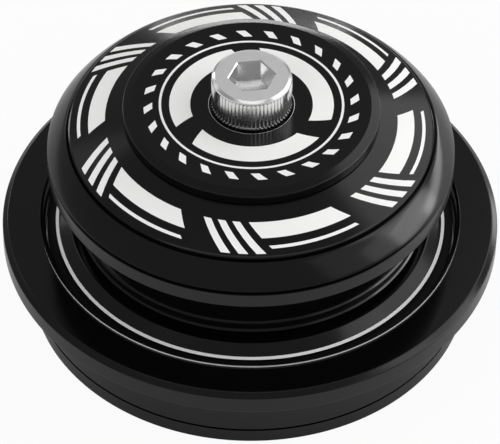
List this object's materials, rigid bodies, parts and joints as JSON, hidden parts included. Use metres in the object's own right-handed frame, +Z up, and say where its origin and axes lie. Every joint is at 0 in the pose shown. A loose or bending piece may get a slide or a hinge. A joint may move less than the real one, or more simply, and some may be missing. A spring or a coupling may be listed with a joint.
{
  "type": "bicycle headset",
  "caption": "Bicycle headset stack: socket bolt and round cap on a conical dust cover, over a flanged upper cup, a crown race and a wide flanged lower cup, with sealed ball bearings inside.",
  "frame": {"origin": "on the steering axis at the end of the lower cup's skirt, which the stack stands on", "axes": "+Z up the steering axis, from the lower cup to the top cap"},
  "size_m": [0.063, 0.063, 0.0362],
  "materials": {
    "black_anodised": "satin black anodised",
    "plated_bolt_steel": "bright plated",
    "ring_alloy": "turned",
    "bearing_steel": "ground",
    "cage_nylon": "matte",
    "seal_rubber": "matte",
    "plain_steel": "zinc plated"
  },
  "bodies": {
    "lower_cup_stack": {"lower_cup": "black_anodised", "lower_bearing_outer_race": "bearing_steel", "lower_bearing_top_seal": "seal_rubber", "lower_bearing_bottom_seal": "seal_rubber"},
    "lower_ball_train": {"lower_bearing_balls": "bearing_steel", "lower_bearing_cage": "cage_nylon"},
    "crown_stack": {"crown_race": "black_anodised", "crown_race_seal": "seal_rubber", "lower_bearing_inner_race": "bearing_steel", "upper_cup": "black_anodised", "upper_bearing_outer_race": "bearing_steel", "upper_bearing_top_seal": "seal_rubber", "upper_bearing_bottom_seal": "seal_rubber"},
    "upper_ball_train": {"upper_bearing_balls": "bearing_steel", "upper_bearing_cage": "cage_nylon"},
    "cover_stack": {"dust_cover": "black_anodised", "cover_o_ring": "seal_rubber", "cover_lip_seal": "seal_rubber", "micro_spacer": "plain_steel", "compression_ring": "ring_alloy", "upper_bearing_inner_race": "bearing_steel", "top_cap": "black_anodised"},
    "preload_bolt": {"top_cap_bolt": "plated_bolt_steel"},
    "star_nut": {"star_nut_sleeve": "plain_steel", "star_nut_upper_washer": "plain_steel", "star_nut_lower_washer": "plain_steel"}
  },
  "joints": [
    {"name": "crown_turn", "type": "hinge", "parent": "lower_cup_stack", "child": "crown_stack", "pos_m": [0, 0, 0.0061], "axis": [0, 0, 1], "continuous": true},
    {"name": "lower_balls_roll", "type": "hinge", "parent": "lower_cup_stack", "child": "lower_ball_train", "pos_m": [0, 0, 0.0061], "axis": [0, 0, 1], "continuous": true},
    {"name": "cover_turn", "type": "hinge", "parent": "crown_stack", "child": "cover_stack", "pos_m": [0, 0, 0.0191], "axis": [0, 0, 1], "continuous": true},
    {"name": "upper_balls_roll", "type": "hinge", "parent": "crown_stack", "child": "upper_ball_train", "pos_m": [0, 0, 0.0191], "axis": [0, 0, 1], "continuous": true},
    {"name": "bolt_turn", "type": "hinge", "parent": "cover_stack", "child": "preload_bolt", "pos_m": [0, 0, 0.0301], "axis": [0, 0, -1], "continuous": true},
    {"name": "star_nut_climb", "type": "slide", "parent": "cover_stack", "child": "star_nut", "axis": [0, 0, 1], "range_m": [0, 0.003]}
  ],
  "couplings": [
    {"joint": "lower_balls_roll", "follows": "crown_turn", "ratio": 0.46549},
    {"joint": "upper_balls_roll", "follows": "cover_turn", "ratio": 0.45541},
    {"joint": "bolt_turn", "follows": "star_nut_climb", "rad_per_m": 6283.2}
  ]
}
